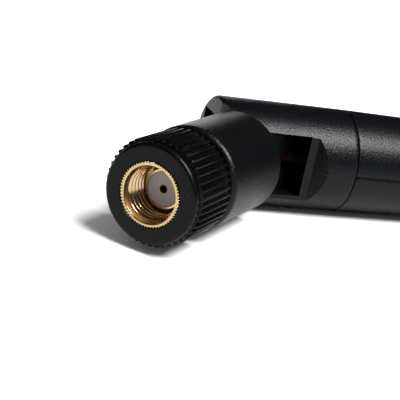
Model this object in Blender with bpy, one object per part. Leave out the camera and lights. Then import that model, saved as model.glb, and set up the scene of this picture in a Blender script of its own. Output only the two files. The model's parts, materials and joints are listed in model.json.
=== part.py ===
# Hinged whip antenna with a threaded plug: every piece at its real size, lying on a table with its
# elbow bent half way. Run with: blender --background --python part.py
# Lengths below are millimetres, and MM turns them to metres. "s" runs along the plug's axis from its
# front face to the hinge, and "t" runs along the arm from the hinge to the tip.

from math import cos, pi, radians, sin, sqrt

import bmesh
import bpy
from mathutils import Vector

MM = 0.001

# ---- Driving dimensions: plug ----
RIM_R = 3.70                  # brass nut, outside
THREAD_MAJOR_R = 3.175        # quarter-inch thread, 36 turns to the inch
THREAD_MINOR_R = 2.86
THREAD_PITCH = 25.4 / 36
MOUTH_R = 3.28                # lead-in at the nut's mouth
MOUTH_DEPTH = 0.45
THREAD_END = 4.7
RELIEF_LENGTH = 0.6           # plain bore behind the thread, where the gasket sits
NUT_LENGTH = 7.2
INTERFACE_DEPTH = 3.2         # nut's face to the outer contact's end
CONTACT_SHELL_R = 2.30        # outer contact barrel
DIELECTRIC_R = 2.06
BODY_R = 2.60                 # connector body behind the gasket
RING_GROOVE_DEPTH = 0.28
SNAP_RING_WIDTH = 0.40
SNAP_RING_GAP = 0.03          # each side of the ring in its grooves
CONTACT_R = 0.635
CONTACT_BORE_R = 0.47
CONTACT_BORE_DEPTH = 2.6
CONTACT_SLOT = 0.14
CONTACT_LENGTH = 8.4
BODY_REAR = 10.0              # end of the connector body's thick part
TAIL_R = 1.20                 # crimp tail behind it
TAIL_LENGTH = 3.2

# ---- Driving dimensions: grip sleeve ----
GRIP_R = 6.30                 # over the ridges
GRIP_LENGTH = 7.69
RIDGE_DEPTH = 0.36
RIDGE_COUNT = 45
FACE_EDGE_R = 0.55            # rounding of the front face
RIDGE_START = 1.25

# ---- Driving dimensions: base and tongue ----
BASE_R = 6.45
BASE_GAP = 0.75               # grip to base
BASE_LENGTH = 13.2
BASE_EDGE = 0.45
TONGUE_R = 4.30               # rounded end about the hinge, and half the tongue's width
TONGUE_HALF = 3.95            # half its thickness
TONGUE_ROOT = 1.5             # how deep the tongue starts inside the base
HINGE_SETBACK = 7.0           # base's rear face to the hinge
CABLE_CHANNEL_R = 1.20
GROOVE_CLEARANCE = 0.10       # tongue's groove beyond the cable channel, each side
FERRULE_WALL = 0.35
FERRULE_LENGTH = 3.6

# ---- Driving dimensions: arm ----
BEND_DEG = 45.0               # arm from straight, as it lies
ARM_R = 7.0
YOKE_END = 6.7                # hinge to the yoke's end
YOKE_EDGE = 0.6
SLOT_CLEARANCE = 0.15         # tongue to yoke, each side
SLOT_RISE = 0.30              # tongue and slot sit this far above the arm's axis
SLOT_FLOOR = 4.85             # hinge to the slot's inner end
LAND_HEIGHT = 5.5             # flat beside the slot, from the arm's axis
LAND_END = 5.95
SEAM_T = 11.63                # ring seam between knuckle and radome
SEAM_GAP = 0.12
SPIGOT_LENGTH = 6.5
SPIGOT_WALL = 1.2
YOKE_POCKET = 3.0             # land's end to the hollow behind it
ARM_LENGTH = 166.4            # hinge to tip
TIP_R = 5.2
TIP_DOME = 4.6
RADOME_WALL = 1.4
SHELL_GAP = 0.05              # each half shell to the parting plane
PIN_R = 1.5
PIN_FIT = 0.06
CHEEK_WALL = 1.15             # yoke left outside each blind pin hole

# ---- Driving dimensions: cable and radiator ----
COAX_R = 0.90
CORE_R = 0.43
COAX_FIT = 0.30
HINGE_RUN = 5.6               # hinge to each end of the cable's bending stretch
CABLE_BORE_R = 1.6
FEED_T = 54.0
SKIRT_LENGTH = 28.0           # brass quarter-wave sleeve
SKIRT_R = 2.6
SKIRT_WALL = 0.30
WHIP_R = 0.55
COIL_START = 82.0
COIL_LENGTH = 9.0
COIL_R = 2.2
COIL_TURNS = 5
FORMER_GAP = 0.12
WHIP_END = 152.0
FOAM_LENGTH = 8.0
FOAM_FIT = 0.15
SHRINK_START = 5.0            # land's end to the heat-shrink
SHRINK_END = 1.5              # heat-shrink to the skirt
SHRINK_WALL = 0.30

# ---- Values that follow ----
FIT = 0.05                    # pressed or moulded faces, drawn just apart
HINGE_S = GRIP_LENGTH + BASE_GAP + BASE_LENGTH + HINGE_SETBACK
BASE_FRONT = GRIP_LENGTH + BASE_GAP
BASE_REAR = BASE_FRONT + BASE_LENGTH
SHOULDER_S = THREAD_END + RELIEF_LENGTH
RING_S = (SHOULDER_S + NUT_LENGTH) / 2
SLOT_HALF = TONGUE_HALF + SLOT_CLEARANCE
YOKE_ROUND_R = HINGE_SETBACK - 0.2
SEGMENTS = 64
FINE = 48
FAR = 2 * ARM_R               # reach of a cutter past any wall


def clear_scene():
    for item in list(bpy.data.objects):
        bpy.data.objects.remove(item, do_unlink=True)


def material(name, colour, roughness, metallic=0.0):
    made = bpy.data.materials.new(name)
    made.use_nodes = True
    shader = made.node_tree.nodes["Principled BSDF"]
    shader.inputs["Base Color"].default_value = (*colour, 1.0)
    shader.inputs["Roughness"].default_value = roughness
    shader.inputs["Metallic"].default_value = metallic
    return made


def empty(name, parent=None, location=(0, 0, 0), turn_z=0.0):
    made = bpy.data.objects.new(name, None)
    bpy.context.scene.collection.objects.link(made)
    made.location = Vector(location) * MM
    made.rotation_euler = (0, 0, turn_z)
    made.parent = parent
    return made


def add_mesh(name, verts, faces, finish, parent):
    mesh = bpy.data.meshes.new(name)
    shape = bmesh.new()
    points = [shape.verts.new(Vector(v) * MM) for v in verts]
    for face in faces:
        shape.faces.new([points[i] for i in face])
    bmesh.ops.recalc_face_normals(shape, faces=shape.faces)
    for face in shape.faces:
        face.smooth = True
    shape.to_mesh(mesh)
    shape.free()
    made = bpy.data.objects.new(name, mesh)
    bpy.context.scene.collection.objects.link(made)
    made.parent = parent
    if finish:
        mesh.materials.append(finish)
    return made


def ring_point(s, r, angle):
    return (r * cos(angle), s, r * sin(angle))


def revolve(profile, segments=SEGMENTS, closed=True, radius_at=None):
    """Turn (s, r) points about the Y axis. An open profile starts and ends on the axis."""
    verts, rings = [], []
    for s, r in profile:
        if r < 1e-9:
            rings.append([len(verts)])
            verts.append((0, s, 0))
            continue
        rings.append(list(range(len(verts), len(verts) + segments)))
        for k in range(segments):
            angle = 2 * pi * k / segments
            verts.append(ring_point(s, radius_at(s, r, angle) if radius_at else r, angle))
    faces = []
    pairs = list(zip(rings, rings[1:]))
    if closed:
        pairs.append((rings[-1], rings[0]))
    for a, b in pairs:
        for k in range(segments):
            n = (k + 1) % segments
            if len(a) == 1:
                faces.append((a[0], b[k], b[n]))
            elif len(b) == 1:
                faces.append((a[k], a[n], b[0]))
            else:
                faces.append((a[k], a[n], b[n], b[k]))
    return verts, faces


def part_turn(profile, start, stop, segments):
    """Turn a closed (s, r) outline part of the way round, with a flat cap at each end."""
    verts, count = [], len(profile)
    for k in range(segments + 1):
        angle = start + (stop - start) * k / segments
        verts += [ring_point(s, r, angle) for s, r in profile]
    faces = []
    for k in range(segments):
        for i in range(count):
            j = (i + 1) % count
            a, b = k * count, (k + 1) * count
            faces.append((a + i, a + j, b + j, b + i))
    faces.append(tuple(range(count)))
    faces.append(tuple(range(segments * count, (segments + 1) * count)))
    return verts, faces


def prism(outline, low, high):
    """A solid between two heights, over an (x, y) outline."""
    count = len(outline)
    verts = [(x, y, low) for x, y in outline] + [(x, y, high) for x, y in outline]
    faces = [(i, (i + 1) % count, count + (i + 1) % count, count + i) for i in range(count)]
    faces.append(tuple(range(count)))
    faces.append(tuple(range(count, 2 * count)))
    return verts, faces


def block(x, y, z):
    return prism([(x[0], y[0]), (x[1], y[0]), (x[1], y[1]), (x[0], y[1])], z[0], z[1])


def rod_z(radius, low, high, segments=FINE):
    outline = [(radius * cos(2 * pi * k / segments), radius * sin(2 * pi * k / segments))
               for k in range(segments)]
    return prism(outline, low, high)


def tube(points, radius, sides=10):
    """A round bar swept along a list of points."""
    points = [Vector(p) for p in points]
    count = len(points)
    heading = (points[1] - points[0]).normalized()
    side = Vector((0, 0, 1)) if abs(heading.z) < 0.9 else Vector((1, 0, 0))
    side = (side - heading * side.dot(heading)).normalized()
    verts, rings = [], []
    for i in range(count):
        ahead = (points[min(i + 1, count - 1)] - points[max(i - 1, 0)]).normalized()
        side = (side - ahead * side.dot(ahead)).normalized()
        up = ahead.cross(side)
        rings.append(list(range(len(verts), len(verts) + sides)))
        for k in range(sides):
            angle = 2 * pi * k / sides
            verts.append(points[i] + (side * cos(angle) + up * sin(angle)) * radius)
    faces = [(a[k], a[(k + 1) % sides], b[(k + 1) % sides], b[k])
             for a, b in zip(rings, rings[1:]) for k in range(sides)]
    faces += [tuple(rings[0]), tuple(rings[-1])]
    return verts, faces


def rounded(corner_s, corner_r, size, toward_s, steps=4):
    """Points of a convex quarter round from a face perpendicular to the axis onto the outside."""
    points = []
    for k in range(steps + 1):
        angle = pi / 2 * k / steps
        points.append((corner_s + toward_s * size * (1 - sin(angle)), corner_r - size * (1 - cos(angle))))
    return points[::-1]


def combine(target, operation, pieces):
    """Join or cut with further solids, which stay out of the render."""
    for number, (verts, faces) in enumerate(pieces):
        tool = add_mesh(f"{target.name}_tool_{operation.lower()}_{number}", verts, faces, None, target.parent)
        tool.hide_render = True
        tool.display_type = "WIRE"
        change = target.modifiers.new(tool.name, "BOOLEAN")
        change.operation = operation
        change.object = tool
        change.solver = "EXACT"
    bpy.context.view_layer.update()
    shaped = bpy.data.meshes.new_from_object(target.evaluated_get(bpy.context.evaluated_depsgraph_get()))
    tools = [change.object for change in target.modifiers]
    target.modifiers.clear()
    target.data = shaped
    for tool in tools:
        bpy.data.objects.remove(tool, do_unlink=True)


# ---- Nut body: what the fingers turn ----

def thread_radius(s, r, angle):
    """A triangular thread on the rows whose plain radius is the thread's minor radius."""
    if abs(r - THREAD_MINOR_R) > 1e-6:
        return r
    runout = min(1.0, (s - MOUTH_DEPTH) / THREAD_PITCH, (THREAD_END - s) / THREAD_PITCH)
    phase = (s / THREAD_PITCH - angle / (2 * pi)) % 1.0
    return r + (THREAD_MAJOR_R - THREAD_MINOR_R) * (1 - abs(2 * phase - 1)) * max(0.0, runout)


def coupling_nut(finish, parent):
    rows = round((THREAD_END - MOUTH_DEPTH) / THREAD_PITCH * 6)
    step = (THREAD_END - MOUTH_DEPTH) / rows
    bore_r = BODY_R + FIT
    groove_r = bore_r + RING_GROOVE_DEPTH
    groove = SNAP_RING_WIDTH / 2 + SNAP_RING_GAP
    profile = [(0, MOUTH_R), (0, RIM_R - 0.12), (0.12, RIM_R), (NUT_LENGTH, RIM_R), (NUT_LENGTH, bore_r)]
    profile += [(RING_S + groove, bore_r), (RING_S + groove, groove_r)]
    profile += [(RING_S - groove, groove_r), (RING_S - groove, bore_r)]
    profile += [(SHOULDER_S, bore_r), (SHOULDER_S, THREAD_MAJOR_R), (THREAD_END + 0.1, THREAD_MAJOR_R)]
    profile += [(THREAD_END - k * step, THREAD_MINOR_R) for k in range(rows)]
    verts, faces = revolve(profile, FINE, True, thread_radius)
    return add_mesh("coupling_nut", verts, faces, finish, parent)


def ridge_radius(s, r, angle):
    """Thin crests with wide valleys between them, on the rows behind the plain front band."""
    if r < GRIP_R - RIDGE_DEPTH - 1e-6 or s < RIDGE_START - 1e-6:
        return r
    phase = (angle * RIDGE_COUNT / (2 * pi)) % 1.0
    crest = min(1.0, max(0.0, (0.5 - abs(phase - 0.5)) * 4 - 0.6))
    return r - RIDGE_DEPTH * (1 - crest) * (r - (GRIP_R - RIDGE_DEPTH)) / RIDGE_DEPTH


def grip_sleeve(finish, parent):
    bore_r = RIM_R + FIT
    root_r = GRIP_R - RIDGE_DEPTH
    profile = [(0, bore_r), (0, root_r - FACE_EDGE_R)]
    profile += rounded(0, root_r, FACE_EDGE_R, 1)[1:]
    profile += [(RIDGE_START, root_r), (RIDGE_START + 0.02, GRIP_R)]
    profile += [(GRIP_LENGTH - 0.2, GRIP_R), (GRIP_LENGTH, root_r), (GRIP_LENGTH, bore_r)]
    verts, faces = revolve(profile, RIDGE_COUNT * 4, True, ridge_radius)
    return add_mesh("grip_sleeve", verts, faces, finish, parent)


def snap_ring(finish, parent):
    inner = BODY_R - RING_GROOVE_DEPTH + SNAP_RING_GAP
    outer = BODY_R + FIT + RING_GROOVE_DEPTH - SNAP_RING_GAP
    low, high = RING_S - SNAP_RING_WIDTH / 2, RING_S + SNAP_RING_WIDTH / 2
    outline = [(low, inner), (low, outer), (high, outer), (high, inner)]
    verts, faces = part_turn(outline, radians(12), radians(348), 40)
    return add_mesh("snap_ring", verts, faces, finish, parent)


# ---- Base body: plug's fixed parts and the swivel base ----

def connector_shell(finish, parent):
    groove_r = BODY_R - RING_GROOVE_DEPTH
    groove = SNAP_RING_WIDTH / 2 + SNAP_RING_GAP
    bore_r = DIELECTRIC_R + FIT / 2
    profile = [(INTERFACE_DEPTH, bore_r), (INTERFACE_DEPTH, CONTACT_SHELL_R)]
    profile += [(SHOULDER_S, CONTACT_SHELL_R), (SHOULDER_S, BODY_R)]
    profile += [(RING_S - groove, BODY_R), (RING_S - groove, groove_r)]
    profile += [(RING_S + groove, groove_r), (RING_S + groove, BODY_R)]
    profile += [(BODY_REAR, BODY_R), (BODY_REAR, TAIL_R), (BODY_REAR + TAIL_LENGTH, TAIL_R)]
    profile += [(BODY_REAR + TAIL_LENGTH, CONTACT_R + 0.15), (BODY_REAR - 0.8, CONTACT_R + 0.15)]
    profile += [(BODY_REAR - 0.8, bore_r)]
    verts, faces = revolve(profile, FINE)
    return add_mesh("connector_shell", verts, faces, finish, parent)


def gasket(finish, parent):
    inner, outer = CONTACT_SHELL_R + FIT, THREAD_MINOR_R - 0.1
    low, high = SHOULDER_S - 0.55, SHOULDER_S - FIT
    verts, faces = revolve([(low, inner), (low, outer), (high, outer), (high, inner)], FINE)
    return add_mesh("gasket", verts, faces, finish, parent)


def dielectric(finish, parent):
    bore_r = CONTACT_R + FIT / 2
    rear = BODY_REAR - 0.8 - FIT
    profile = [(INTERFACE_DEPTH, bore_r), (INTERFACE_DEPTH, DIELECTRIC_R)]
    profile += [(rear, DIELECTRIC_R), (rear, bore_r)]
    verts, faces = revolve(profile, FINE)
    return add_mesh("dielectric", verts, faces, finish, parent)


def centre_contact(finish, parent):
    front = INTERFACE_DEPTH - 0.05
    rear = front + CONTACT_LENGTH
    floor = front + CONTACT_BORE_DEPTH
    profile = [(floor, 0), (floor, CONTACT_BORE_R), (front, CONTACT_BORE_R), (front, CONTACT_R - 0.06)]
    profile += [(front + 0.06, CONTACT_R), (rear, CONTACT_R), (rear, 0)]
    made = add_mesh("centre_contact", *revolve(profile, 32, False), finish, parent)
    reach = (-CONTACT_R * 2, CONTACT_R * 2)
    thin = (-CONTACT_SLOT / 2, CONTACT_SLOT / 2)
    depth = (front - 1, floor - 0.4)
    combine(made, "DIFFERENCE", [block(reach, depth, thin), block(thin, depth, reach)])
    return made


def crimp_ferrule(finish, parent):
    inner = TAIL_R + FIT
    outer = inner + FERRULE_WALL
    low = BODY_REAR + 0.2
    high = low + FERRULE_LENGTH
    verts, faces = revolve([(low, inner), (low, outer), (high, outer), (high, inner)], FINE)
    return add_mesh("crimp_ferrule", verts, faces, finish, parent)


def swivel_base(finish, parent):
    body_bore = BODY_R + FIT
    ferrule_bore = TAIL_R + FIT + FERRULE_WALL + 0.15
    ferrule_end = BODY_REAR + FERRULE_LENGTH + 0.8
    profile = [(ferrule_end, 0), (ferrule_end, ferrule_bore), (BODY_REAR + FIT, ferrule_bore)]
    profile += [(BODY_REAR + FIT, body_bore), (BASE_FRONT, body_bore)]
    profile += rounded(BASE_FRONT, BASE_R, BASE_EDGE, 1)
    profile += [(BASE_REAR - 0.15, BASE_R), (BASE_REAR, BASE_R - 0.15), (BASE_REAR, 0)]
    made = add_mesh("swivel_base", *revolve(profile, SEGMENTS, False), finish, parent)
    arc = [(TONGUE_R * cos(pi * k / 24), HINGE_S + TONGUE_R * sin(pi * k / 24)) for k in range(25)]
    root = BASE_REAR - TONGUE_ROOT
    outline = [(-TONGUE_R, root), (TONGUE_R, root)] + arc
    combine(made, "UNION", [prism(outline, SLOT_RISE - TONGUE_HALF, SLOT_RISE + TONGUE_HALF)])
    channel = revolve([(ferrule_end - 0.7, 0), (ferrule_end - 0.7, CABLE_CHANNEL_R),
                       (HINGE_S + FAR, CABLE_CHANNEL_R), (HINGE_S + FAR, 0)], 32, False)
    groove_half = CABLE_CHANNEL_R + GROOVE_CLEARANCE
    groove = block((-FAR, FAR), (HINGE_S - HINGE_RUN + 1.0, HINGE_S + 2 * FAR), (-groove_half, groove_half))
    holes = rod_z(PIN_R + PIN_FIT, -FAR, FAR)
    holes = ([(x, y + HINGE_S, z) for x, y, z in holes[0]], holes[1])
    combine(made, "DIFFERENCE", [channel, groove, holes])
    return made


def hinge_pin(name, side, finish, parent):
    near = CABLE_CHANNEL_R + GROOVE_CLEARANCE + FIT
    far = sqrt(ARM_R ** 2 - PIN_R ** 2) - CHEEK_WALL - 0.1
    verts, faces = rod_z(PIN_R, near, far, 32)
    verts = [(x, y + HINGE_S, z * side) for x, y, z in verts]
    return add_mesh(name, verts, faces, finish, parent)


# ---- Arm body ----

def knuckle_yoke(finish, parent):
    spigot_r = ARM_R - RADOME_WALL - 0.15
    seam = SEAM_T - SEAM_GAP / 2
    profile = [(-YOKE_END, 0)] + rounded(-YOKE_END, ARM_R, YOKE_EDGE, 1)
    profile += [(seam - 0.15, ARM_R), (seam, ARM_R - 0.15), (seam, spigot_r), (seam + SPIGOT_LENGTH, spigot_r)]
    profile += [(seam + SPIGOT_LENGTH, spigot_r - SPIGOT_WALL)]
    profile += [(LAND_END + YOKE_POCKET, spigot_r - SPIGOT_WALL), (LAND_END + YOKE_POCKET, 0)]
    made = add_mesh("knuckle_yoke", *revolve(profile, SEGMENTS, False), finish, parent)
    slot = block((-TONGUE_R - 0.4, FAR), (-FAR, SLOT_FLOOR),
                 (SLOT_RISE - SLOT_HALF, SLOT_RISE + SLOT_HALF))
    rise = FAR - LAND_HEIGHT
    land = prism([(LAND_HEIGHT, -FAR), (FAR, -FAR), (FAR, LAND_END + rise), (LAND_HEIGHT, LAND_END)],
                 -FAR, FAR)
    arc = [(YOKE_ROUND_R * sin(pi / 2 * k / 16), -YOKE_ROUND_R * cos(pi / 2 * k / 16)) for k in range(17)]
    corner = prism(arc + [(FAR, 0), (FAR, -FAR), (0, -FAR)], -FAR, FAR)
    hole_end = sqrt(ARM_R ** 2 - PIN_R ** 2) - CHEEK_WALL
    pins = rod_z(PIN_R + PIN_FIT, -hole_end, hole_end)
    cable = revolve([(SLOT_FLOOR - 1, 0), (SLOT_FLOOR - 1, CABLE_BORE_R),
                     (LAND_END + YOKE_POCKET + 1, CABLE_BORE_R), (LAND_END + YOKE_POCKET + 1, 0)], 32, False)
    combine(made, "DIFFERENCE", [slot, land, corner, pins, cable])
    return made


def radome_radius(t):
    return ARM_R + (TIP_R - ARM_R) * (t - SEAM_T) / (ARM_LENGTH - SEAM_T)


def radome_outline():
    """Outer wall from the seam to the tip, then the inner wall back, as (t, r) points."""
    start = SEAM_T + SEAM_GAP / 2
    shoulder = ARM_LENGTH - TIP_DOME
    outer = [(start, ARM_R - 0.15), (start + 0.15, ARM_R)]
    outer += [(start + (shoulder - start) * k / 8, radome_radius(start + (shoulder - start) * k / 8))
              for k in range(1, 9)]
    edge_r = radome_radius(shoulder)
    outer += [(shoulder + TIP_DOME * sin(pi / 2 * k / 8), edge_r * cos(pi / 2 * k / 8)) for k in range(1, 8)]
    outer += [(ARM_LENGTH, 0)]
    inner = [(ARM_LENGTH - RADOME_WALL, 0)]
    inner += [(shoulder + (TIP_DOME - RADOME_WALL) * sin(pi / 2 * k / 6), (edge_r - RADOME_WALL) * cos(pi / 2 * k / 6))
              for k in range(5, 0, -1)]
    inner += [(start + (shoulder - start) * k / 8, radome_radius(start + (shoulder - start) * k / 8) - RADOME_WALL)
              for k in range(8, -1, -1)]
    return outer, inner


def radome_half(name, side, finish, parent):
    """Half of the tube, on one side of the parting plane, closed by a cut at that plane."""
    outer, inner = radome_outline()
    outline = outer + inner
    slices = 32
    count = len(outline)
    verts, faces, index = [], [], []
    for k in range(slices + 1):
        angle = pi * k / slices
        row = []
        for i, (t, r) in enumerate(outline):
            if r < 1e-9 and k > 0:
                row.append(index[0][i])
                continue
            row.append(len(verts))
            lift = SHELL_GAP if k in (0, slices) or r < 1e-9 else max(SHELL_GAP, r * sin(angle))
            verts.append((r * cos(angle), t, side * lift))
        index.append(row)
    for k in range(slices):
        for i in range(count):
            j = (i + 1) % count
            quad = [index[k][i], index[k][j], index[k + 1][j], index[k + 1][i]]
            face = list(dict.fromkeys(quad))
            if len(face) > 2:
                faces.append(tuple(face))
    faces += [tuple(index[0]), tuple(index[-1])]
    return add_mesh(name, verts, faces, finish, parent)


def coax_arm(finish, parent):
    rear = FEED_T - 1.0
    verts, faces = revolve([(HINGE_RUN + COAX_FIT, 0), (HINGE_RUN + COAX_FIT, COAX_R), (rear, COAX_R), (rear, 0)],
                           16, False)
    return add_mesh("coax_arm", verts, faces, finish, parent)


def feed_washer(finish, parent):
    low, high = FEED_T - 0.8, FEED_T - 0.2
    inner, outer = CORE_R + 0.1, SKIRT_R - SKIRT_WALL - FIT
    verts, faces = revolve([(low, inner), (low, outer), (high, outer), (high, inner)], 32)
    return add_mesh("feed_washer", verts, faces, finish, parent)


def coax_core(finish, parent):
    low, high = FEED_T - 0.9, FEED_T + 0.9
    verts, faces = revolve([(low, 0), (low, CORE_R), (high, CORE_R), (high, 0)], 16, False)
    return add_mesh("coax_core", verts, faces, finish, parent)


def radiator_skirt(finish, parent):
    low, high = FEED_T - SKIRT_LENGTH, FEED_T
    inner = SKIRT_R - SKIRT_WALL
    verts, faces = revolve([(low, inner), (low, SKIRT_R), (high, SKIRT_R), (high, inner)], 32)
    return add_mesh("radiator_skirt", verts, faces, finish, parent)


def radiator_whip(finish, parent):
    """One wire: straight, wound into the phasing coil, and straight again to its end."""
    path = [(0, FEED_T + 1.0, 0), (0, COIL_START - COIL_R, 0)]
    turns = COIL_TURNS * 20
    for k in range(turns + 1):
        angle = 2 * pi * k / 20
        path.append((COIL_R * cos(angle), COIL_START + COIL_LENGTH * k / turns, COIL_R * sin(angle)))
    path += [(0, COIL_START + COIL_LENGTH + COIL_R, 0), (0, WHIP_END, 0)]
    pitch_gap = COIL_LENGTH / COIL_TURNS - 2 * WHIP_R
    print(f"phasing coil: least gap between turns {pitch_gap:.2f} mm")
    verts, faces = tube(path, WHIP_R, 8)
    return add_mesh("radiator_whip", verts, faces, finish, parent)


def coil_former(finish, parent):
    outer = COIL_R - WHIP_R - FORMER_GAP
    low = COIL_START + 0.3
    high = COIL_START + COIL_LENGTH - 0.3
    verts, faces = revolve([(low, 0), (low, outer), (high, outer), (high, 0)], 24, False)
    return add_mesh("coil_former", verts, faces, finish, parent)


def foam_ring(name, centre, inner, finish, parent):
    low, high = centre - FOAM_LENGTH / 2, centre + FOAM_LENGTH / 2
    outer_low = radome_radius(low) - RADOME_WALL - FOAM_FIT
    outer_high = radome_radius(high) - RADOME_WALL - FOAM_FIT
    bore = inner + FOAM_FIT
    verts, faces = revolve([(low, bore), (low, outer_low), (high, outer_high), (high, bore)], 48)
    return add_mesh(name, verts, faces, finish, parent)


def heat_shrink(finish, parent):
    low, high = LAND_END + SHRINK_START, FEED_T - SKIRT_LENGTH - SHRINK_END
    inner = COAX_R + FIT
    verts, faces = revolve([(low, inner), (low, inner + SHRINK_WALL), (high, inner + SHRINK_WALL), (high, inner)], 24)
    return add_mesh("heat_shrink", verts, faces, finish, parent)


# ---- Cable in the base and across the hinge ----

def coax_base(finish, parent):
    low = BODY_REAR + TAIL_LENGTH + 0.8
    high = HINGE_S - HINGE_RUN - COAX_FIT
    verts, faces = revolve([(low, 0), (low, COAX_R), (high, COAX_R), (high, 0)], 16, False)
    return add_mesh("coax_base", verts, faces, finish, parent)


def coax_hinge(finish, parent):
    """The cable's bending stretch: one smooth arc tangent to both straight runs."""
    bend = radians(BEND_DEG)
    arc_r = HINGE_RUN / (sin(bend / 2) / cos(bend / 2))
    points = []
    for k in range(13):
        angle = bend * k / 12
        points.append((arc_r * (1 - cos(angle)), HINGE_S - HINGE_RUN + arc_r * sin(angle), 0))
    verts, faces = tube(points, COAX_R, 16)
    return add_mesh("coax_hinge", verts, faces, finish, parent)


def report_size(root):
    """Set the whole part on the floor, centred, and print what the record states."""
    bpy.context.view_layer.update()
    graph = bpy.context.evaluated_depsgraph_get()
    corners = []
    for item in bpy.data.objects:
        if item.type != "MESH":
            continue
        shape = item.evaluated_get(graph).data
        corners += [item.matrix_world @ v.co for v in shape.vertices]
    low = Vector([min(c[i] for c in corners) for i in range(3)])
    high = Vector([max(c[i] for c in corners) for i in range(3)])
    root.location = (-(low.x + high.x) / 2, -(low.y + high.y) / 2, -low.z)
    bpy.context.view_layer.update()
    print("box mm:", [round(v / MM, 2) for v in high - low])
    print("plug face centre m:", [round(v, 6) for v in root.location])
    hinge = root.location + Vector((0, HINGE_S * MM, 0))
    print("hinge m:", [round(v, 6) for v in hinge])


def main():
    clear_scene()
    black = material("grip_plastic", (0.018, 0.019, 0.020), 0.45)
    base_black = material("base_plastic", (0.017, 0.017, 0.018), 0.42)
    arm_black = material("radome_plastic", (0.019, 0.020, 0.021), 0.50)
    gold = material("gold_plated_brass", (0.83, 0.60, 0.29), 0.22, 1.0)
    contact_gold = material("contact_gold", (0.86, 0.62, 0.30), 0.20, 1.0)
    bronze = material("spring_bronze", (0.55, 0.38, 0.20), 0.35, 1.0)
    steel = material("pin_steel", (0.55, 0.55, 0.56), 0.30, 1.0)
    nickel = material("ferrule_nickel", (0.62, 0.60, 0.56), 0.28, 1.0)
    brass = material("radiator_brass", (0.70, 0.52, 0.25), 0.35, 1.0)
    copper = material("whip_copper", (0.72, 0.40, 0.25), 0.35, 1.0)
    ptfe = material("ptfe", (0.75, 0.74, 0.70), 0.40)
    silicone = material("silicone", (0.45, 0.06, 0.04), 0.55)
    jacket = material("coax_jacket", (0.16, 0.06, 0.03), 0.35)
    foam = material("foam", (0.60, 0.60, 0.58), 0.90)
    shrink = material("heat_shrink", (0.02, 0.02, 0.02), 0.55)
    former = material("former_plastic", (0.55, 0.52, 0.45), 0.50)

    root = empty("antenna")
    spin = empty("nut_axis", root)
    tilt = empty("tilt_axis", root, (0, HINGE_S, 0), -radians(BEND_DEG))

    coupling_nut(gold, spin)
    grip_sleeve(black, spin)
    snap_ring(bronze, spin)

    connector_shell(gold, root)
    gasket(silicone, root)
    dielectric(ptfe, root)
    centre_contact(contact_gold, root)
    crimp_ferrule(nickel, root)
    swivel_base(base_black, root)
    hinge_pin("hinge_pin_upper", 1, steel, root)
    hinge_pin("hinge_pin_lower", -1, steel, root)
    coax_base(jacket, root)
    coax_hinge(jacket, root)

    knuckle_yoke(arm_black, tilt)
    radome_half("radome_upper", 1, arm_black, tilt)
    radome_half("radome_lower", -1, arm_black, tilt)
    coax_arm(jacket, tilt)
    heat_shrink(shrink, tilt)
    radiator_skirt(brass, tilt)
    feed_washer(brass, tilt)
    coax_core(ptfe, tilt)
    radiator_whip(copper, tilt)
    coil_former(former, tilt)
    foam_ring("foam_support_lower", FEED_T - SKIRT_LENGTH / 2, SKIRT_R, foam, tilt)
    foam_ring("foam_support_upper", (COIL_START + COIL_LENGTH + WHIP_END) / 2, WHIP_R, foam, tilt)

    report_size(root)


main()
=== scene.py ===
# %% [markdown]
# # A hinged antenna on a white table
# The model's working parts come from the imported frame. This file gives them their looks: finer
# meshes for what shows, a material for every surface, soft lamps and the camera.
# Lengths are in millimetres and become metres where a mesh or a texture is made.

# %% Load the frame
import json
from math import cos, pi, radians, sin

import bmesh
import bpy
from mathutils import Matrix, Vector


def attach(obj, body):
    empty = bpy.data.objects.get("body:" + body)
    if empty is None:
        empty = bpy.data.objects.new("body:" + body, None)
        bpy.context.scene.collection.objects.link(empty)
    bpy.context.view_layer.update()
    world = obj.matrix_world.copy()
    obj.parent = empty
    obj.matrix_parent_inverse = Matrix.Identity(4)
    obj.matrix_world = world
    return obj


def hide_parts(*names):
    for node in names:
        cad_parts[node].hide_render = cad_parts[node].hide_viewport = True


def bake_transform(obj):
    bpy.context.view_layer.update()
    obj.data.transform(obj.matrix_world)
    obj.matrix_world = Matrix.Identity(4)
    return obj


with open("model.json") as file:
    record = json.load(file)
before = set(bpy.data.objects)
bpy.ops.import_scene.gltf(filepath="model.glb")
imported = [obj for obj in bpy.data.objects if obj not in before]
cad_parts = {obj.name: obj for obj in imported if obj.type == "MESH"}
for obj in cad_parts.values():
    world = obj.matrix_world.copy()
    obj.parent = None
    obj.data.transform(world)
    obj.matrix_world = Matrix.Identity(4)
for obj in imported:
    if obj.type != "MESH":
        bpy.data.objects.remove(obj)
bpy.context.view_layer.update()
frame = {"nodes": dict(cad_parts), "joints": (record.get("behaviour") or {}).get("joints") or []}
MM = 0.001

joints = {joint["name"]: joint for joint in frame["joints"]}
PLUG = Vector(joints["nut_spin"]["pos_m"])
HINGE = Vector(joints["elbow_tilt"]["pos_m"])
BEND = -radians(joints["elbow_tilt"]["range_deg"][0])
plug_space = Matrix.Translation(PLUG)
arm_space = Matrix.Translation(HINGE) @ Matrix.Rotation(-BEND, 4, "Z")
print("plug face", tuple(PLUG), "hinge", tuple(HINGE), "bend", round(BEND, 3))

# %% [markdown]
# The camera stands where the photographer's did: in front of the plug, a little to its right and
# above it, and rolled a little. It could be aimed at a point by eye, but the plug's round rims, seen
# as ellipses, fix it much better. They give the two directions below: to the picture's right, and
# from the object back to the camera.

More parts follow.
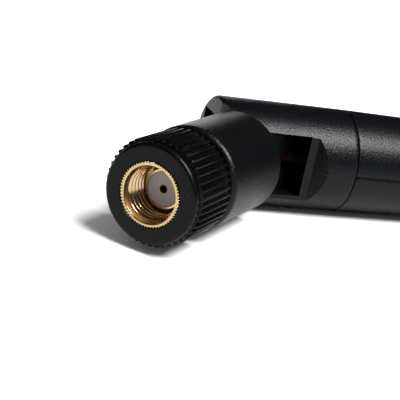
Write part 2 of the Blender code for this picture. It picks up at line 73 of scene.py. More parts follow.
# %% Camera
VIEW_FROM = Vector((47.445, -91.942, 35.430))      # from the plug's face
VIEW_RIGHT = Vector((0.86747, 0.46009, 0.18924)).normalized()
VIEW_BACK = Vector((0.38865, -0.86421, 0.31952)).normalized()
LENS = 90.0
SENSOR_WIDTH = 36.0
NEAR_CLIP = 5.0

camera_data = bpy.data.cameras.new("camera")
camera_data.lens = LENS
camera_data.sensor_width = SENSOR_WIDTH
camera_data.clip_start = NEAR_CLIP * MM
camera = bpy.data.objects.new("camera", camera_data)
bpy.context.scene.collection.objects.link(camera)
aim = Matrix((VIEW_RIGHT, VIEW_BACK.cross(VIEW_RIGHT), VIEW_BACK)).transposed()
camera.rotation_euler = aim.to_euler()
camera.location = PLUG + VIEW_FROM * MM
bpy.context.scene.camera = camera
print("camera at", tuple(round(v, 4) for v in camera.location))

# %% [markdown]
# A few small helpers serve every material. One turns a written sRGB colour to the linear numbers
# that the renderer wants, and one adds a shader node with its settings and links. The others name
# what the materials do most often: work out a number, make a noise, mix two colours, raise a bump.

# %% Colour and node helpers
def linear(hex_colour):
    """An sRGB hex colour as linear RGBA."""
    channels = [int(hex_colour[i:i + 2], 16) / 255 for i in (1, 3, 5)]
    return (*[c / 12.92 if c <= 0.04045 else ((c + 0.055) / 1.055) ** 2.4 for c in channels], 1.0)


def add(tree, kind, settings=None, inputs=None):
    """Add a node, set its properties, and fill or link its sockets."""
    node = tree.nodes.new(kind)
    for name, value in (settings or {}).items():
        setattr(node, name, value)
    for name, value in (inputs or {}).items():
        if isinstance(value, bpy.types.NodeSocket):
            tree.links.new(value, node.inputs[name])
        else:
            node.inputs[name].default_value = value
    return node


def calculate(tree, operation, *values):
    """One sum on numbers or sockets."""
    return add(tree, "ShaderNodeMath", {"operation": operation}, dict(enumerate(values))).outputs["Value"]


def noise(tree, place, size_mm, **inputs):
    """A soft noise whose features are about the size given."""
    inputs |= {"Vector": place, "Scale": 1 / (size_mm * MM)}
    return add(tree, "ShaderNodeTexNoise", None, inputs).outputs["Fac"]


def paint(tree, shader, factor, first, second):
    """Colour the shader between two sRGB colours."""
    tint = add(tree, "ShaderNodeMix", {"data_type": "RGBA"},
               {"Factor": factor, "A": linear(first), "B": linear(second)})
    tree.links.new(tint.outputs["Result"], shader.inputs["Base Color"])


def emboss(tree, shader, height, depth_mm, strength):
    """Raise the surface's shading by a height."""
    bump = add(tree, "ShaderNodeBump", None,
               {"Height": height, "Strength": strength, "Distance": depth_mm * MM})
    tree.links.new(bump.outputs["Normal"], shader.inputs["Normal"])


def new_material(name, colour, roughness, metallic=0.0, specular=0.5):
    """A material with its shader, whose constant values sit on the shader's own sockets."""
    made = bpy.data.materials.new(name)
    made.use_nodes = True
    tree = made.node_tree
    shader = tree.nodes["Principled BSDF"]
    shader.inputs["Base Color"].default_value = linear(colour)
    shader.inputs["Roughness"].default_value = roughness
    shader.inputs["Metallic"].default_value = metallic
    shader.inputs["Specular IOR Level"].default_value = specular
    return made, tree, shader, add(tree, "ShaderNodeTexCoord").outputs["Object"]

# %% [markdown]
# The black housings are ABS, injection moulded in tools whose faces were spark eroded. That leaves
# a fine even grain of pits, which breaks a highlight into bright specks. A bump from one fine noise
# gives the grain, and the same noise moves the roughness a little, because pit floors are duller; a
# broad noise adds the slow drift that handling leaves. The real grain is about 0.1 mm; it is drawn
# at 0.25 mm so that the camera shows it. Light grey specks are painted on every black part: they are
# painted glints of the grain, and they stand for dust as well.

# %% Moulded ABS
SPECK_CELL = 0.9
SPECK_RADIUS = 0.06            # of a cell
SPECKLESS_SHARE = 0.90            # cells without a speck
GLINT_AND_DUST_COLOUR = "#5c5b57"
GRAIN_DULLING = 0.07          # roughness either way
GRAIN_RANGE = (0.3, 0.7)      # of the noise's height
CLOUD_SIZE = 9
CLOUD_DULLING = 0.06
LINE_HEIGHT = 0.6             # mould line, of the grain's depth
LINE_TOP = 0.03               # half its width at the top
LINE_FOOT = 0.09              # and at the foot


def moulded_abs(name, colour, roughness, specular, grain_mm, grain_depth_mm, seam_height=None):
    """Black moulded ABS with a spark-eroded grain and, if asked, a faint mould line."""
    made, tree, shader, place = new_material(name, colour, roughness, specular=specular)
    # Painted glints: light grey specks on a few random cells, which also stand for dust.
    cells = add(tree, "ShaderNodeTexVoronoi", None, {"Vector": place, "Scale": 1 / (SPECK_CELL * MM)})
    chance = add(tree, "ShaderNodeSeparateColor", None, {"Color": cells.outputs["Color"]})
    speck = calculate(tree, "LESS_THAN", cells.outputs["Distance"], SPECK_RADIUS)
    rare = calculate(tree, "GREATER_THAN", chance.outputs["Red"], SPECKLESS_SHARE)
    paint(tree, shader, calculate(tree, "MULTIPLY", speck, rare), colour, GLINT_AND_DUST_COLOUR)
    height = noise(tree, place, grain_mm, Detail=2.0, Roughness=0.6)
    dull = add(tree, "ShaderNodeMapRange", None,
               {"Value": height, "From Min": GRAIN_RANGE[0], "From Max": GRAIN_RANGE[1],
                "To Min": roughness - GRAIN_DULLING, "To Max": roughness + GRAIN_DULLING})
    patchy = calculate(tree, "MULTIPLY_ADD", noise(tree, place, CLOUD_SIZE, Detail=2.0), CLOUD_DULLING,
                       dull.outputs["Result"])
    tree.links.new(patchy, shader.inputs["Roughness"])
    if seam_height is not None:
        split = add(tree, "ShaderNodeSeparateXYZ", None, {"Vector": place})
        away = calculate(tree, "SUBTRACT", split.outputs["Z"], seam_height)
        line = add(tree, "ShaderNodeMapRange", None,
                   {"Value": calculate(tree, "ABSOLUTE", away), "From Min": LINE_TOP * MM,
                    "From Max": LINE_FOOT * MM, "To Min": LINE_HEIGHT, "To Max": 0.0})
        height = calculate(tree, "ADD", height, line.outputs["Result"])
    emboss(tree, shader, height, grain_depth_mm, 1.0)
    return made


grip_abs = moulded_abs("grip_moulded_abs", "#08090a", 0.25, 0.20, 0.35, 0.001)
base_abs = moulded_abs("base_moulded_abs", "#07080a", 0.31, 0.36, 0.24, 0.050)
knuckle_abs = moulded_abs("knuckle_moulded_abs", "#0a0c10", 0.28, 0.27, 0.25, 0.045, HINGE.z)
radome_abs = moulded_abs("radome_moulded_abs", "#0a0c10", 0.28, 0.27, 0.25, 0.040)
print("moulded ABS:", [m.name for m in (grip_abs, base_abs, knuckle_abs, radome_abs)])

# %% [markdown]
# The nut and contacts are turned brass under a thin gold plate. The lathe's marks run round the
# axis, so the noise is stretched into rings: it is stepped along the axis and the radius only. The
# plate is pale where it is thick and shows warmer brass where it is thin.

# %% Plated and plain metals
STAIN_SIZE = 1.6
MARK_STRENGTH = 0.6


def turned_metal(name, colour, warm, roughness, mark_mm, mark_depth_mm):
    """A lathe-turned metal whose marks run round the plug's axis."""
    made, tree, shader, place = new_material(name, colour, roughness, 1.0)
    split = add(tree, "ShaderNodeSeparateXYZ", None, {"Vector": place})
    squares = []
    for axis, centre in (("X", PLUG.x), ("Z", PLUG.z)):
        away = calculate(tree, "SUBTRACT", split.outputs[axis], centre)
        squares.append(calculate(tree, "MULTIPLY", away, away))
    radius = calculate(tree, "SQRT", calculate(tree, "ADD", *squares))
    rings = add(tree, "ShaderNodeCombineXYZ", None, {"X": radius, "Y": split.outputs["Y"]})
    paint(tree, shader, noise(tree, place, STAIN_SIZE, Detail=3.0), colour, warm)
    marks = noise(tree, rings.outputs["Vector"], mark_mm, Detail=3.0)
    emboss(tree, shader, marks, mark_depth_mm, MARK_STRENGTH)
    return made


gold_plate = turned_metal("gold_plated_brass", "#f4dcb2", "#e3bd88", 0.19, 0.08, 0.003)
contact_gold = turned_metal("gold_plated_contact", "#e9c58a", "#cf9f5a", 0.24, 0.05, 0.002)
spring_bronze = turned_metal("phosphor_bronze", "#b9854f", "#9c6b3c", 0.34, 0.10, 0.003)
pin_steel = turned_metal("turned_steel", "#b9bbbd", "#a3a5a8", 0.30, 0.10, 0.003)
nickel = turned_metal("nickel_plate", "#c3bfb4", "#b2ada0", 0.28, 0.10, 0.003)
drawn_brass = turned_metal("drawn_brass", "#cfa95a", "#b98f42", 0.34, 0.20, 0.003)
drawn_copper = turned_metal("drawn_copper", "#c9835a", "#b06a44", 0.34, 0.20, 0.003)
print("metals ready")

# %% [markdown]
# The insulator is PTFE, skived from white rod. It is waxy and slightly see-through, so light enters
# and spreads: a little subsurface gives that. The cable's jacket is clear-brown FEP, smooth and
# glossy; the foam and the heat-shrink are dull.

# %% Plastics that don't carry grain
LIGHT_REACH = (0.6, 0.5, 0.4)      # into the wax: red, green, blue
PIT_STRENGTH = 0.5


def mottled(name, dark, light, roughness, spot_mm, pit_mm, subsurface=0.0):
    """A plain plastic or rubber whose colour drifts a little over its surface."""
    made, tree, shader, place = new_material(name, light, roughness)
    drift = noise(tree, place, spot_mm, Detail=3.0)
    paint(tree, shader, drift, dark, light)
    emboss(tree, shader, drift, pit_mm, PIT_STRENGTH)
    if subsurface:
        shader.inputs["Subsurface Weight"].default_value = subsurface
        shader.inputs["Subsurface Radius"].default_value = [reach * MM for reach in LIGHT_REACH]
        shader.inputs["Subsurface Scale"].default_value = 1.0
    return made


ptfe = mottled("skived_ptfe", "#a39e97", "#b3afa9", 0.42, 0.5, 0.006, 0.2)
fep_jacket = mottled("fep_cable_jacket", "#2e140a", "#3d1c0f", 0.28, 1.2, 0.010)
silicone = mottled("silicone_rubber", "#7a1f17", "#8c261c", 0.55, 0.8, 0.010)
foam = mottled("cut_foam", "#b5b5b0", "#c9c9c4", 0.90, 0.6, 0.080)
shrink = mottled("shrunk_tube", "#121213", "#1b1b1c", 0.55, 0.8, 0.010)
former_plastic = mottled("moulded_former", "#a79f8c", "#b8b09d", 0.50, 1.0, 0.008)
print("plain plastics ready")

# %% [markdown]
# Nearly every piece is turned: a profile swept round an axis. A modifier could sweep it, but a grid
# written out point by point also lets a formula push the radius in and out, which makes the thread
# and the knurl as real geometry. Sharp corners are marked by angle, so round faces shade smoothly.
# A profile's points are (s, r): how far along the axis, and how far from it.

# %% Mesh helpers
CREASE = radians(32)
ON_AXIS = 1e-9
ROUND_SIDES = 48
FAR = 14.0                    # reach of a cutter past any wall


def add_mesh(name, verts, faces, space, finish, crease=CREASE):
    """A mesh object from points in millimetres, set in its space, smooth except at creases."""
    mesh = bpy.data.meshes.new(name)
    shape = bmesh.new()
    points = [shape.verts.new(space @ (Vector(v) * MM)) for v in verts]
    for face in faces:
        shape.faces.new([points[i] for i in face])
    bmesh.ops.recalc_face_normals(shape, faces=shape.faces)
    for face in shape.faces:
        face.smooth = True
    shape.to_mesh(mesh)
    shape.free()
    mesh.set_sharp_from_angle(angle=crease)
    made = bpy.data.objects.new(name, mesh)
    bpy.context.scene.collection.objects.link(made)
    if finish:
        mesh.materials.append(finish)
    return made


def revolve(profile, segments, closed=True, radius_at=None):
    """Turn (s, r) points about the Y axis. An open profile starts and ends on the axis."""
    verts, rings = [], []
    for s, r in profile:
        if r < ON_AXIS:
            rings.append([len(verts)] * segments)
            verts.append((0, s, 0))
            continue
        rings.append(list(range(len(verts), len(verts) + segments)))
        for k in range(segments):
            angle = 2 * pi * k / segments
            size = radius_at(s, r, angle) if radius_at else r
            verts.append((size * cos(angle), s, size * sin(angle)))
    pairs = list(zip(rings, rings[1:])) + ([(rings[-1], rings[0])] if closed else [])
    faces = []
    for a, b in pairs:
        for k in range(segments):
            n = (k + 1) % segments
            faces.append(tuple(dict.fromkeys((a[k], a[n], b[n], b[k]))))
    return verts, faces


def rounded(start, outer, radius, steps):
    """Profile points of a quarter round, from an end face at `start` to a side at `outer`."""
    angles = [pi / 2 * k / steps for k in range(1, steps + 1)]
    return [(start + radius * (1 - cos(a)), outer - radius * (1 - sin(a))) for a in angles]


def lip(edge, side, outer, shape):
    """Profile points (back from an edge, in from a side) that lead away from the edge."""
    return [(edge + side * back, outer - drop) for back, drop in shape]


def rod(low, high, radius):
    """A round bar along the profile's axis."""
    return revolve([(low, 0), (low, radius), (high, radius), (high, 0)], ROUND_SIDES, False)


def prism(outline, low, high):
    """A solid between two heights, over an (x, y) outline."""
    count = len(outline)
    verts = [(x, y, low) for x, y in outline] + [(x, y, high) for x, y in outline]
    faces = [(i, (i + 1) % count, count + (i + 1) % count, count + i) for i in range(count)]
    return verts, faces + [tuple(range(count)), tuple(range(count, 2 * count))]


def block(x, y, z):
    """A box between two values on each axis."""
    return prism([(x[0], y[0]), (x[1], y[0]), (x[1], y[1]), (x[0], y[1])], z[0], z[1])


def arc(radius, start, stop, steps, centre=(0, 0)):
    """Points of an arc in the plane, from one angle to another."""
    angles = [start + (stop - start) * k / steps for k in range(steps + 1)]
    return [(centre[0] + radius * cos(a), centre[1] + radius * sin(a)) for a in angles]


def upright_bar(radius, reach, centre=(0, 0)):
    """A round bar that stands upright, with the same reach up and down."""
    last = ROUND_SIDES - 1
    return prism(arc(radius, 0, 2 * pi * last / ROUND_SIDES, last, centre), -reach, reach)


def combine(target, operation, pieces, space):
    """Join or cut with further solids, then keep only the result."""
    for verts, faces in pieces:
        tool = add_mesh("tool", verts, faces, space, None)
        change = target.modifiers.new("shape", "BOOLEAN")
        change.operation = operation
        change.object = tool
        change.solver = "EXACT"
    bpy.context.view_layer.update()
    graph = bpy.context.evaluated_depsgraph_get()
    shaped = bpy.data.meshes.new_from_object(target.evaluated_get(graph))
    tools = [change.object for change in target.modifiers]
    target.modifiers.clear()
    target.data = shaped
    for tool in tools:
        bpy.data.objects.remove(tool, do_unlink=True)


def settle(piece, body, node):
    """Say what a piece stands for and what it moves with."""
    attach(piece, body)
    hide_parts(node)
    print(f"{piece.name}: {len(piece.data.polygons)} faces, rides on {body}")

# %% [markdown]
# The grip is what fingers turn: a black sleeve pressed over the nut. Its front face is flat with a
# rounded edge, then comes a plain band, a shallow groove, and the knurl: straight rounded ridges
# with narrow valleys, open at the rear.

# %% Grip sleeve
GRIP_R = 6.30
GRIP_LENGTH = 7.69
GRIP_BORE = 3.80
BORE_CHAMFER = (0.08, 0.06)        # along and across
FACE_R = 5.80
FACE_EDGE = 0.50
FACE_EDGE_STEPS = 8
BAND_END = 0.62
GROOVE_DEPTH = 0.10
GROOVE_SLOPE = 0.06
RIDGE_COUNT = 45
RIDGE_DEPTH = 0.40
RIDGE_START = 0.98
RIDGE_STEEPNESS = 2.9              # rises this many times over half a ridge
VALLEY_SHARE = 0.22                # of the rise, cut off at the foot
RIDGE_SEGMENTS = 12
RIDGE_NOSE = ((0, RIDGE_DEPTH), (0.02, 0.26), (0.08, 0.06), (0.18, 0))
RIDGE_TAIL = ((0, RIDGE_DEPTH), (0.06, 0.10), (0.20, 0))
ROOT_R = GRIP_R - RIDGE_DEPTH


def ridge_radius(s, r, angle):
    """The knurl: only rows that reach above the root swing with the angle."""
    if r <= ROOT_R + 1e-6:
        return r
    phase = (angle * RIDGE_COUNT / (2 * pi)) % 1.0
    rise = min(1.0, max(0.0, (0.5 - abs(phase - 0.5)) * RIDGE_STEEPNESS - VALLEY_SHARE))
    crest = rise * rise * (3 - 2 * rise)
    return ROOT_R + (r - ROOT_R) * crest


grip_profile = [(BORE_CHAMFER[0], GRIP_BORE), (0, GRIP_BORE + BORE_CHAMFER[1]), (0, FACE_R - FACE_EDGE)]
grip_profile += rounded(0, FACE_R, FACE_EDGE, FACE_EDGE_STEPS)
grip_profile += [(BAND_END, FACE_R), (BAND_END + GROOVE_SLOPE, FACE_R - GROOVE_DEPTH),
                 (RIDGE_START - GROOVE_SLOPE, FACE_R - GROOVE_DEPTH)]
grip_profile += lip(RIDGE_START, 1, GRIP_R, RIDGE_NOSE)
grip_profile += lip(GRIP_LENGTH, -1, GRIP_R, RIDGE_TAIL)[::-1]
grip_profile += [(GRIP_LENGTH, GRIP_BORE)]
grip = add_mesh("grip_sleeve_moulded",
                *revolve(grip_profile, RIDGE_COUNT * RIDGE_SEGMENTS, True, ridge_radius),
                plug_space, grip_abs)
settle(grip, "nut", "grip_sleeve")

# %% [markdown]
# The nut is turned brass. Its thread is the standard one for this plug, 36 turns to the inch, so its
# pitch is worked out from that. Each row of points is a ring, and its radius swings with the angle
# and the depth together, which makes a true helix. The thread grows out of the mouth over its first
# turn. A fine straight knurl round the outside bites into the grip, and shows as teeth at the rim.

# %% Coupling nut
MOUTH_R = 3.28
MOUTH_DEPTH = 0.45
MOUTH_SLOPE = 0.06
MOUTH_LIP = ((0, -0.04), (0.05, 0), (0.30, 0.02))
THREAD_MAJOR_R = 3.175
THREAD_MINOR_R = 2.82
THREAD_PITCH = 25.4 / 36
THREAD_END = 4.7
THREAD_STEEPNESS = 1.2             # flats at the crest and the root
THREAD_ROOT = 0.06
THREAD_ROWS = 84
RELIEF_LENGTH = 0.6
RELIEF_START = 0.1
NUT_LENGTH = 7.2
NUT_CREASE = radians(60)
RIM_TEETH = 64
TOOTH_DEPTH = 0.22
TOOTH_R = 3.78
TOOTH_BAND = 0.1                   # rows this near the outside carry the teeth
TOOTH_SEGMENTS = 4
RIM_CHAMFER = (0.03, 0.05)         # along and across
BODY_BORE = 2.65


def nut_radius(s, r, angle):
    """Teeth on the outside, a flattened triangular thread on the inside."""
    if r > TOOTH_R - TOOTH_BAND:
        wave = abs(2 * ((angle * RIM_TEETH / (2 * pi)) % 1.0) - 1)
        return r - TOOTH_DEPTH * wave
    if abs(r - THREAD_MINOR_R) > 1e-6:
        return r
    growth = min(1.0, (s - MOUTH_DEPTH) / THREAD_PITCH, (THREAD_END - s) / THREAD_PITCH)
    phase = (s / THREAD_PITCH - angle / (2 * pi)) % 1.0
    ridge = min(1.0, max(0.0, THREAD_STEEPNESS * abs(2 * phase - 1) - THREAD_ROOT))
    return THREAD_MAJOR_R - (THREAD_MAJOR_R - THREAD_MINOR_R) * ridge * max(0.0, growth)


row_step = (THREAD_END - MOUTH_DEPTH) / THREAD_ROWS
nut_profile = [(MOUTH_DEPTH - MOUTH_SLOPE, THREAD_MAJOR_R)]
nut_profile += lip(0, 1, MOUTH_R, MOUTH_LIP)[::-1]
nut_profile += [(0, TOOTH_R - RIM_CHAMFER[1]), (RIM_CHAMFER[0], TOOTH_R),
                (NUT_LENGTH, TOOTH_R), (NUT_LENGTH, BODY_BORE),
                (THREAD_END + RELIEF_LENGTH, BODY_BORE), (THREAD_END + RELIEF_LENGTH, THREAD_MAJOR_R),
                (THREAD_END + RELIEF_START, THREAD_MAJOR_R)]
nut_profile += [(THREAD_END - k * row_step, THREAD_MINOR_R) for k in range(THREAD_ROWS + 1)]
nut = add_mesh("coupling_nut_turned", *revolve(nut_profile, RIM_TEETH * TOOTH_SEGMENTS, True, nut_radius),
               plug_space, gold_plate, NUT_CREASE)
settle(nut, "nut", "coupling_nut")

# %% [markdown]
# Down the nut lies the contact end: a thin gold lip, the white insulator, and the centre socket with
# its hole. The socket's front is stepped down, and its mouth is opened a little so that the jack's
# pin finds it.

# %% Insulator and centre contact
INTERFACE = 3.2
DIELECTRIC_R = 2.06
DIELECTRIC_REAR = 9.1
DIELECTRIC_EDGE = 0.08
DIELECTRIC_SIDES = 96
CONTACT_R = 0.635
CONTACT_BORE = 0.46
SOCKET_TIP_R = 0.53
TIP_STEP = 0.35
CONTACT_GAP = 0.03
TIP_GAP = 0.02
dielectric_profile = [(INTERFACE + TIP_STEP, SOCKET_TIP_R + TIP_GAP),
                      (INTERFACE, SOCKET_TIP_R + TIP_GAP),
                      (INTERFACE, DIELECTRIC_R - DIELECTRIC_EDGE),
                      (INTERFACE + DIELECTRIC_EDGE, DIELECTRIC_R),
                      (DIELECTRIC_REAR, DIELECTRIC_R), (DIELECTRIC_REAR, CONTACT_R + CONTACT_GAP),
                      (INTERFACE + TIP_STEP, CONTACT_R + CONTACT_GAP)]
insulator = add_mesh("dielectric_turned", *revolve(dielectric_profile, DIELECTRIC_SIDES), plug_space, ptfe)
settle(insulator, "base", "dielectric")

SOCKET_DEPTH = 2.6
SOCKET_LENGTH = 8.4
SOCKET_MOUTH = (0.08, 0.03)        # along and across
SOCKET_EDGE = 0.02
SOCKET_SIDES = 64
SOCKET_FRONT = INTERFACE - CONTACT_GAP
SOCKET_FLOOR = SOCKET_FRONT + SOCKET_DEPTH
SOCKET_REAR = SOCKET_FRONT + SOCKET_LENGTH
tip_end = INTERFACE + TIP_STEP + CONTACT_GAP
socket_profile = [(SOCKET_FLOOR, 0), (SOCKET_FLOOR, CONTACT_BORE),
                  (SOCKET_FRONT + SOCKET_MOUTH[0], CONTACT_BORE),
                  (SOCKET_FRONT, CONTACT_BORE + SOCKET_MOUTH[1]), (SOCKET_FRONT, SOCKET_TIP_R - SOCKET_EDGE),
                  (SOCKET_FRONT + SOCKET_EDGE, SOCKET_TIP_R), (tip_end, SOCKET_TIP_R),
                  (tip_end, CONTACT_R), (SOCKET_REAR, CONTACT_R), (SOCKET_REAR, 0)]
socket = add_mesh("centre_contact_turned", *revolve(socket_profile, SOCKET_SIDES, False),
                  plug_space, contact_gold)
settle(socket, "base", "centre_contact")

# %% [markdown]
# The swivel base is a plain moulded cylinder with a soft front edge. Its tongue reaches into the
# elbow: a flat lug, rounded about the hinge, split by a groove that leaves room for the cable. The
# lug is joined to the cylinder with a Boolean, then the channel, groove and pin hole are cut. An
# extra ring of points beside each rounded edge keeps the edge's shading off the long side.

# %% Swivel base
BASE_R = 6.45
BASE_GAP = 0.75
BASE_EDGE = 0.70
BASE_SIDES = 160
HINGE_SETBACK = 7.0
EDGE_STEPS = 6
EDGE_RING = 0.3
REAR_LIP = ((0, 0.15), (0.04, 0.04), (0.15, 0), (0.5, 0))
TONGUE_R = 4.30
TONGUE_HALF = 3.95
TONGUE_ROOT = 1.5
SLOT_RISE = 0.30              # tongue and slot sit this far above the arm's axis
CHANNEL_R = 1.20
CHANNEL_OVERLAP = 0.7
GROOVE_HALF = 1.30
GROOVE_START = 4.6            # in front of the hinge
FERRULE_BORE = 1.75
FERRULE_END = 14.4
BODY_REAR = 10.05
PIN_HOLE_R = 1.56
BASE_FRONT = GRIP_LENGTH + BASE_GAP
HINGE_S = (HINGE - PLUG).y / MM
BASE_REAR = HINGE_S - HINGE_SETBACK

base_profile = [(FERRULE_END, 0), (FERRULE_END, FERRULE_BORE), (BODY_REAR, FERRULE_BORE),
                (BODY_REAR, BODY_BORE), (BASE_FRONT, BODY_BORE), (BASE_FRONT, BASE_R - BASE_EDGE)]
base_profile += rounded(BASE_FRONT, BASE_R, BASE_EDGE, EDGE_STEPS)
base_profile += [(BASE_FRONT + BASE_EDGE + EDGE_RING, BASE_R)]
base_profile += lip(BASE_REAR, -1, BASE_R, REAR_LIP)[::-1]
base_profile += [(BASE_REAR, 0)]
base = add_mesh("swivel_base_moulded", *revolve(base_profile, BASE_SIDES, False), plug_space, base_abs)
lug = [(-TONGUE_R, BASE_REAR - TONGUE_ROOT), (TONGUE_R, BASE_REAR - TONGUE_ROOT)]
lug += arc(TONGUE_R, 0, pi, ROUND_SIDES, (0, HINGE_S))
combine(base, "UNION", [prism(lug, SLOT_RISE - TONGUE_HALF, SLOT_RISE + TONGUE_HALF)], plug_space)
channel = rod(FERRULE_END - CHANNEL_OVERLAP, HINGE_S + FAR, CHANNEL_R)
groove = block((-FAR, FAR), (HINGE_S - GROOVE_START, HINGE_S + 2 * FAR), (-GROOVE_HALF, GROOVE_HALF))
pin_hole = upright_bar(PIN_HOLE_R, FAR, (0, HINGE_S))
combine(base, "DIFFERENCE", [channel, groove, pin_hole], plug_space)
base.data.set_sharp_from_angle(angle=CREASE)
settle(base, "base", "swivel_base")

# %% [markdown]
# The knuckle is the arm's lower end. A deep slot takes the tongue and opens to one side and to the
# end, so that the arm can fold. Beside the slot the round face is cut flat, which gives the base's
# rear edge its room at a right angle, and past the slot the flat climbs back to the surface as a
# sloped facet. The cuts are the same ones that a mould's inserts would leave.

# %% Knuckle
ARM_R = 7.0
ARM_SIDES = 192
YOKE_END = 6.7
YOKE_EDGE = 0.6
YOKE_ROUND_R = 6.8
YOKE_ROUND_STEPS = 32
SLOT_HALF = 4.10
SLOT_FLOOR = 4.85
SLOT_BACK = 4.70
LAND_HEIGHT = 5.5
LAND_END = 5.95
SEAM_T = 11.63
SEAM_GAP = 0.12
SEAM_LIP = ((0, 0.14), (0.03, 0.04), (0.12, 0), (0.5, 0))
SPIGOT_R = 5.45
SPIGOT_WALL = 1.2
SPIGOT_END = 18.0
POCKET_START = 3              # past the land
PIN_REACH = 5.69
CABLE_BORE = 1.6
BORE_OVERLAP = 1              # into the slot, and into the pocket

seam_edge = SEAM_T - SEAM_GAP / 2
pocket = LAND_END + POCKET_START
yoke_profile = [(-YOKE_END, 0), (-YOKE_END, ARM_R - YOKE_EDGE)]
yoke_profile += rounded(-YOKE_END, ARM_R, YOKE_EDGE, EDGE_STEPS)
yoke_profile += [(-YOKE_END + YOKE_EDGE + EDGE_RING, ARM_R), (0, ARM_R)]
yoke_profile += lip(seam_edge, -1, ARM_R, SEAM_LIP)[::-1]
yoke_profile += [(seam_edge, SPIGOT_R), (SPIGOT_END, SPIGOT_R), (SPIGOT_END, SPIGOT_R - SPIGOT_WALL),
                 (pocket, SPIGOT_R - SPIGOT_WALL), (pocket, 0)]
knuckle = add_mesh("knuckle_yoke_moulded", *revolve(yoke_profile, ARM_SIDES, False), arm_space, knuckle_abs)
slot_cut = block((-SLOT_BACK, FAR), (-FAR, SLOT_FLOOR), (SLOT_RISE - SLOT_HALF, SLOT_RISE + SLOT_HALF))
land_cut = prism([(LAND_HEIGHT, -FAR), (FAR, -FAR), (FAR, LAND_END + FAR - LAND_HEIGHT),
                  (LAND_HEIGHT, LAND_END)], -FAR, FAR)
corner_cut = prism(arc(YOKE_ROUND_R, -pi / 2, 0, YOKE_ROUND_STEPS) + [(FAR, 0), (FAR, -FAR), (0, -FAR)],
                   -FAR, FAR)
pin_cut = upright_bar(PIN_HOLE_R, PIN_REACH)
cable_cut = rod(SLOT_FLOOR - BORE_OVERLAP, pocket + BORE_OVERLAP, CABLE_BORE)
combine(knuckle, "DIFFERENCE", [slot_cut, land_cut, corner_cut, pin_cut, cable_cut], arm_space)
knuckle.data.set_sharp_from_angle(angle=CREASE)
settle(knuckle, "arm", "knuckle_yoke")

# %% [markdown]
# The radome is the long tapered cover, moulded as two half shells that are snapped and glued
# together. Their joint runs the whole length as a thin dark line, so each half is its own mesh, with
# a small round on the edge that meets the other half.

# %% Radome halves
ARM_LENGTH = 166.4
TIP_R = 5.2
TIP_DOME = 4.6
WALL = 1.4
SHELL_GAP = 0.05
EDGE_ROUND = 0.10
HALF_STEPS = 80
STATIONS = 24
DOME_STEPS = 16
INNER_DOME_STEPS = 8


def radome_radius(t):
    """The taper, from the ring seam to the tip."""
    return ARM_R + (TIP_R - ARM_R) * (t - SEAM_T) / (ARM_LENGTH - SEAM_T)


def radome_half(name, side):
    """Half of the tapered tube with its domed tip, closed at the parting plane."""
    start = SEAM_T + SEAM_GAP / 2
    shoulder = ARM_LENGTH - TIP_DOME
    edge_r = radome_radius(shoulder)
    stations = [start + (shoulder - start) * k / STATIONS for k in range(STATIONS + 1)]
    outer_turns = [pi / 2 * k / DOME_STEPS for k in range(1, DOME_STEPS)]
    inner_turns = [pi / 2 * k / INNER_DOME_STEPS for k in range(INNER_DOME_STEPS - 1, 0, -1)]
    outer = lip(start, 1, ARM_R, SEAM_LIP)
    outer += [(t, radome_radius(t)) for t in stations[1:]]
    outer += [(shoulder + TIP_DOME * sin(a), edge_r * cos(a)) for a in outer_turns]
    inner = [(shoulder + (TIP_DOME - WALL) * sin(a), (edge_r - WALL) * cos(a)) for a in inner_turns]
    inner += [(t, radome_radius(t) - WALL) for t in reversed(stations)]
    outline = outer + [(ARM_LENGTH, 0), (ARM_LENGTH - WALL, 0)] + inner
    verts, rows = [], []
    for k in range(HALF_STEPS + 1):
        angle = pi * k / HALF_STEPS
        at_edge = k in (0, HALF_STEPS)
        row = []
        for i, (t, r) in enumerate(outline):
            if r < ON_AXIS and k:
                row.append(rows[0][i])
                continue
            row.append(len(verts))
            size = r - (EDGE_ROUND if at_edge and i < len(outer) else 0)
            lift = SHELL_GAP if at_edge else max(SHELL_GAP, r * sin(angle))
            verts.append((size * cos(angle), t, side * lift))
        rows.append(row)
    count = len(outline)
    faces = []
    for a, b in zip(rows, rows[1:]):
        for i in range(count):
            j = (i + 1) % count
            face = tuple(dict.fromkeys((a[i], a[j], b[j], b[i])))
            if len(face) > 2:
                faces.append(face)
    faces += [tuple(rows[0]), tuple(rows[-1])]
    return add_mesh(name, verts, faces, arm_space, radome_abs)


for name, side in (("radome_upper", 1), ("radome_lower", -1)):
    settle(radome_half(name + "_shell", side), "arm", name)

# %% [markdown]
# A thin brown cable crosses the elbow inside the slot. It is a smooth tube whose middle line is an
# arc tangent to both straight runs.

# %% Cable across the elbow
COAX_R = 0.90
HINGE_RUN = 5.6
COAX_STEPS = 32
COAX_SIDES = 24


def cable_bend():
    """The jacket's tube through the elbow."""
    bend_r = HINGE_RUN * cos(BEND / 2) / sin(BEND / 2)
    upward = Vector((0, 0, 1))
    verts, rows = [], []
    for k in range(COAX_STEPS + 1):
        turn = BEND * k / COAX_STEPS
        centre = Vector((bend_r * (1 - cos(turn)), HINGE_S - HINGE_RUN + bend_r * sin(turn), 0))
        across = Vector((cos(turn), -sin(turn), 0))
        rows.append(list(range(len(verts), len(verts) + COAX_SIDES)))
        for i in range(COAX_SIDES):
            angle = 2 * pi * i / COAX_SIDES
            verts.append(centre + (across * cos(angle) + upward * sin(angle)) * COAX_R)
    faces = [(a[i], a[(i + 1) % COAX_SIDES], b[(i + 1) % COAX_SIDES], b[i])
             for a, b in zip(rows, rows[1:]) for i in range(COAX_SIDES)]
    faces += [tuple(rows[0]), tuple(rows[-1])]
    return add_mesh("coax_elbow", verts, faces, plug_space, fep_jacket)


cable = cable_bend()
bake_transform(cable)
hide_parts("coax_hinge")

# %% [markdown]
# The other nodes keep the shape that the frame gives them, and take only a finish.

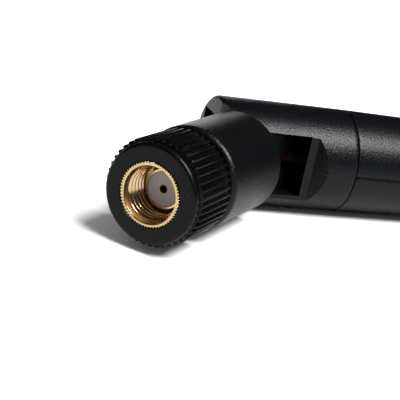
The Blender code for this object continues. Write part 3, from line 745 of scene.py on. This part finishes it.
# %% Finishes for the frame's own nodes
node_finishes = {
    "connector_shell": gold_plate, "gasket": silicone, "snap_ring": spring_bronze,
    "crimp_ferrule": nickel, "hinge_pin_upper": pin_steel, "hinge_pin_lower": pin_steel,
    "coax_base": fep_jacket, "coax_arm": fep_jacket, "heat_shrink": shrink, "coax_core": ptfe,
    "radiator_skirt": drawn_brass, "feed_washer": drawn_brass, "radiator_whip": drawn_copper,
    "coil_former": former_plastic, "foam_support_lower": foam, "foam_support_upper": foam,
}
for node, finish in node_finishes.items():
    for place in frame["nodes"][node].material_slots:
        place.material = finish
print("finishes on", len(node_finishes), "nodes")

# %% [markdown]
# The table is a white sheet. Photographs like this one are exposed until the sheet is pure white, so
# the camera sees it brighter than it is, while its shadows and the light it sends back to the object
# stay true. Mirror images see it a little darker, which keeps the black arm's underside black. More
# lamp power would bleach the object as well.

# %% Table
TABLE_REACH = 4000
TABLE_DROP = 0.02
TABLE_TRUE = 0.92
TABLE_MIRRORED = 0.78
TABLE_SEEN = 1.60
table_white = bpy.data.materials.new("white_table")
table_white.use_nodes = True
table_tree = table_white.node_tree
table_tree.nodes.clear()
table_path = add(table_tree, "ShaderNodeLightPath")
table_mirrored = add(table_tree, "ShaderNodeMapRange", None,
                     {"Value": table_path.outputs["Is Glossy Ray"], "To Min": TABLE_TRUE,
                      "To Max": TABLE_MIRRORED})
table_tone = add(table_tree, "ShaderNodeMapRange", None,
                 {"Value": table_path.outputs["Is Camera Ray"], "To Min": table_mirrored.outputs["Result"],
                  "To Max": TABLE_SEEN})
table_face = add(table_tree, "ShaderNodeBsdfDiffuse", None, {"Color": table_tone.outputs["Result"]})
add(table_tree, "ShaderNodeOutputMaterial", None, {"Surface": table_face.outputs["BSDF"]})
corners = [(-TABLE_REACH, -TABLE_REACH, 0), (TABLE_REACH, -TABLE_REACH, 0),
           (TABLE_REACH, TABLE_REACH, 0), (-TABLE_REACH, TABLE_REACH, 0)]
table = add_mesh("table", corners, [(0, 1, 2, 3)], Matrix.Translation((0, 0, -TABLE_DROP * MM)), table_white)

# %% [markdown]
# One lamp does most of the work: a large one on the right, well above the table, which draws the
# long soft highlight on the arm and throws the plug's shadow to the left. A low panel behind on the
# left grazes the top of the base. The room is dim where it is mirrored, so that black stays black.

# %% World and lamps
WHITE = (1, 1, 1, 1)
SKY_SEEN = 1.0
SKY_TRUE = 0.18
SKY_MIRRORED = 0.02
world = bpy.data.worlds.new("studio")
bpy.context.scene.world = world
world.use_nodes = True
sky = world.node_tree
sky.nodes.clear()
path = add(sky, "ShaderNodeLightPath")
seen, room, dark = [add(sky, "ShaderNodeBackground", None, {"Color": WHITE, "Strength": strength})
                    for strength in (SKY_SEEN, SKY_TRUE, SKY_MIRRORED)]
reflected = add(sky, "ShaderNodeMixShader", None,
                {"Fac": path.outputs["Is Glossy Ray"], 1: room.outputs["Background"],
                 2: dark.outputs["Background"]})
mixed = add(sky, "ShaderNodeMixShader", None,
            {"Fac": path.outputs["Is Camera Ray"], 1: reflected.outputs["Shader"],
             2: seen.outputs["Background"]})
add(sky, "ShaderNodeOutputWorld", None, {"Surface": mixed.outputs["Shader"]})


def sun(name, azimuth_deg, height_deg, strength, spread_deg):
    """A far lamp in the direction given, as soft as its spread."""
    data = bpy.data.lights.new(name, "SUN")
    data.energy = strength
    data.angle = radians(spread_deg)
    lamp = bpy.data.objects.new(name, data)
    bpy.context.scene.collection.objects.link(lamp)
    azimuth, height = radians(azimuth_deg), radians(height_deg)
    toward = Vector((cos(azimuth) * cos(height), sin(azimuth) * cos(height), sin(height)))
    lamp.rotation_euler = toward.to_track_quat("Z", "Y").to_euler()


sun("right_key", -9, 57, 3.9, 32)
sun("back_left_low", 122, 8, 0.15, 20)

# %% [markdown]
# The plain view transform keeps the white table white. The two boxes that are written out show that
# the finer meshes stay inside the frame's own.

# %% Picture settings
bpy.context.scene.view_settings.view_transform = "Standard"
